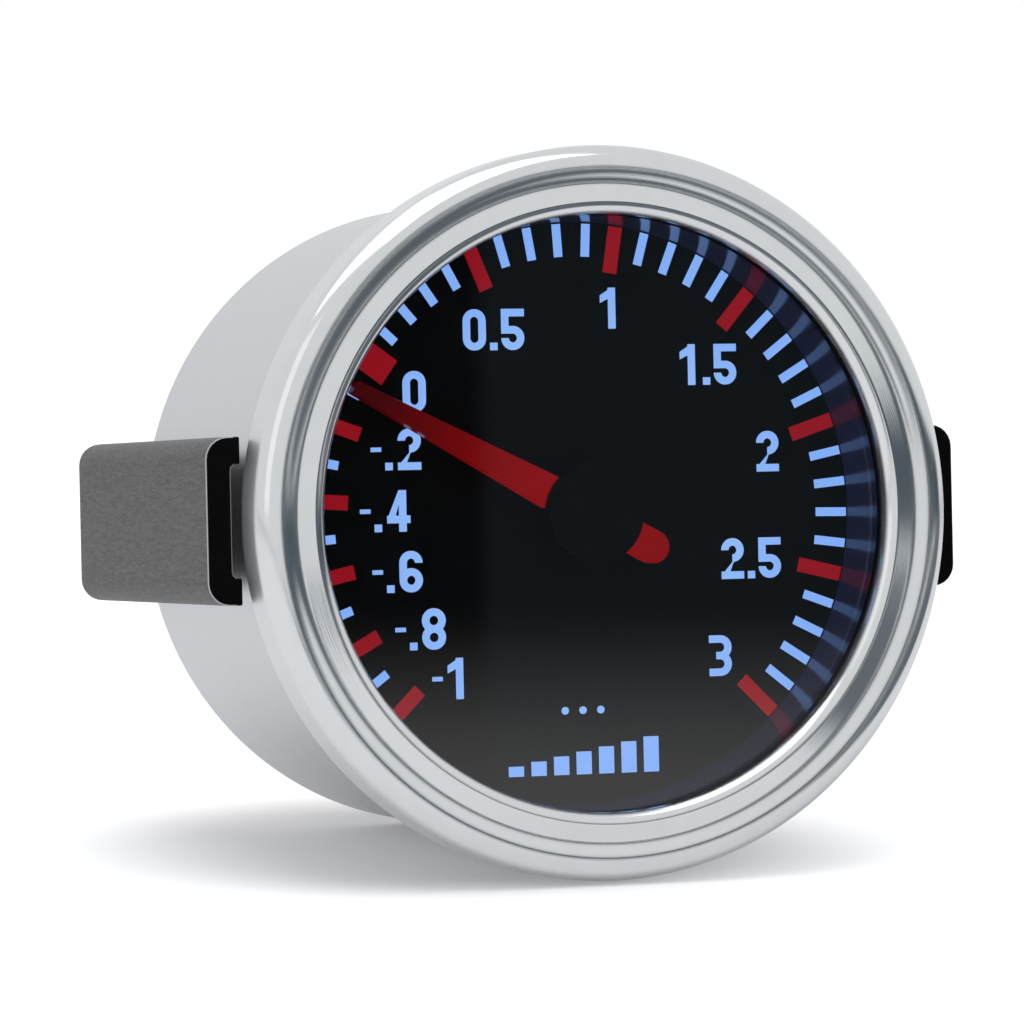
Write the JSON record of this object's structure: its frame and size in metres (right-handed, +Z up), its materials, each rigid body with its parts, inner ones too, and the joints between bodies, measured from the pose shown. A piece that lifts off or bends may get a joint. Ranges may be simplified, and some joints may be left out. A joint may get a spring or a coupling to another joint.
{
  "type": "boost gauge",
  "caption": "Round panel gauge with a geared stepper pointer, a polished bezel, a flat lens, a backlit dial and a clamp bracket on studs.",
  "frame": {"origin": "on the gauge's axis, at the plane where the bezel's rear edge seats on the panel", "axes": "+Y along the axis towards the rear and the studs, -Y towards the viewer of the dial, +Z up with the dial upright, +X to the right seen from the front"},
  "size_m": [0.0626, 0.0629, 0.0574],
  "materials": {
    "polished_aluminium": "polished, faint radial brushing",
    "satin_aluminium": "fine satin",
    "clear_glass": "clear, polished",
    "black_rubber": "moulded",
    "gloss_black_plastic": "glossy",
    "matte_black_plastic": "moulded, fine texture",
    "red_acrylic": "translucent, lit",
    "dial_black": "satin print",
    "lit_white_print": "translucent print, lit from behind",
    "lit_red_print": "translucent print, lit from behind",
    "clear_acrylic": "clear, polished",
    "white_plastic": "moulded",
    "socket_white": "moulded",
    "lamp_body": "moulded",
    "board_green": "solder mask",
    "zinc_steel": "bright zinc plate",
    "stator_steel": "stamped",
    "copper_wire": "enamelled wire",
    "magnet_grey": "bonded magnet",
    "gear_plastic": "moulded",
    "gilt_pins": "gilt",
    "brass_turned": "turned",
    "capacitor_sleeve": "shrink sleeve",
    "black_anodised": "black anodised, finely brushed"
  },
  "bodies": {
    "case": {"bezel": "polished_aluminium", "lens": "clear_glass", "lens_gasket": "black_rubber", "shroud_ring": "gloss_black_plastic", "body_can": "satin_aluminium", "dial_face": "dial_black", "scale_marks_white": "lit_white_print", "scale_marks_red": "lit_red_print", "light_guide": "clear_acrylic", "light_box": "white_plastic", "dial_lamps": "lamp_body", "main_board": "board_green", "board_screws": "zinc_steel", "motor_case_front": "matte_black_plastic", "motor_case_rear": "matte_black_plastic", "motor_stator": "stator_steel", "motor_coils": "copper_wire", "controller_chip": "matte_black_plastic", "link_pins": "gilt_pins", "link_blocks": "matte_black_plastic", "board_spacers": "brass_turned", "rear_board": "board_green", "capacitor": "capacitor_sleeve", "regulator": "matte_black_plastic", "power_socket": "socket_white", "power_pins": "gilt_pins", "sensor_socket": "socket_white", "sensor_pins": "gilt_pins", "rear_cover": "matte_black_plastic", "cover_screws": "zinc_steel", "mounting_studs": "zinc_steel"},
    "pointer_arbor": {"pointer": "red_acrylic", "pointer_cap": "matte_black_plastic", "output_gear": "gear_plastic"},
    "idler": {"idler_gear": "gear_plastic"},
    "rotor": {"motor_rotor": "magnet_grey"},
    "clamp_bracket": {"bracket": "black_anodised", "flat_washers": "zinc_steel", "spring_washers": "zinc_steel"},
    "left_nut": {"clamp_nut_left": "brass_turned"},
    "right_nut": {"clamp_nut_right": "brass_turned"}
  },
  "joints": [
    {"name": "pointer_sweep", "type": "hinge", "parent": "case", "child": "pointer_arbor", "pos_m": [0, 0, 0], "axis": [0, 1, 0], "range_deg": [-72.9, 197.1]},
    {"name": "idler_turn", "type": "hinge", "parent": "case", "child": "idler", "pos_m": [0.0054, 0.012, -0.0072], "axis": [0, 1, 0], "range_deg": [-986, 365]},
    {"name": "rotor_turn", "type": "hinge", "parent": "case", "child": "rotor", "pos_m": [0, 0.012, -0.0144], "axis": [0, 1, 0], "range_deg": [-1823, 4928]},
    {"name": "bracket_slide", "type": "slide", "parent": "case", "child": "clamp_bracket", "axis": [0, 1, 0], "range_m": [0, 0.01]},
    {"name": "left_nut_turn", "type": "hinge", "parent": "clamp_bracket", "child": "left_nut", "pos_m": [-0.011, 0.044, 0], "axis": [0, 1, 0], "range_deg": [0, 5150]},
    {"name": "right_nut_turn", "type": "hinge", "parent": "clamp_bracket", "child": "right_nut", "pos_m": [0.011, 0.044, 0], "axis": [0, 1, 0], "range_deg": [0, 5150]}
  ],
  "couplings": [
    {"joint": "idler_turn", "follows": "pointer_sweep", "ratio": -5},
    {"joint": "rotor_turn", "follows": "pointer_sweep", "ratio": 25},
    {"joint": "left_nut_turn", "follows": "bracket_slide", "rad_per_m": 8976},
    {"joint": "right_nut_turn", "follows": "bracket_slide", "rad_per_m": 8976}
  ]
}
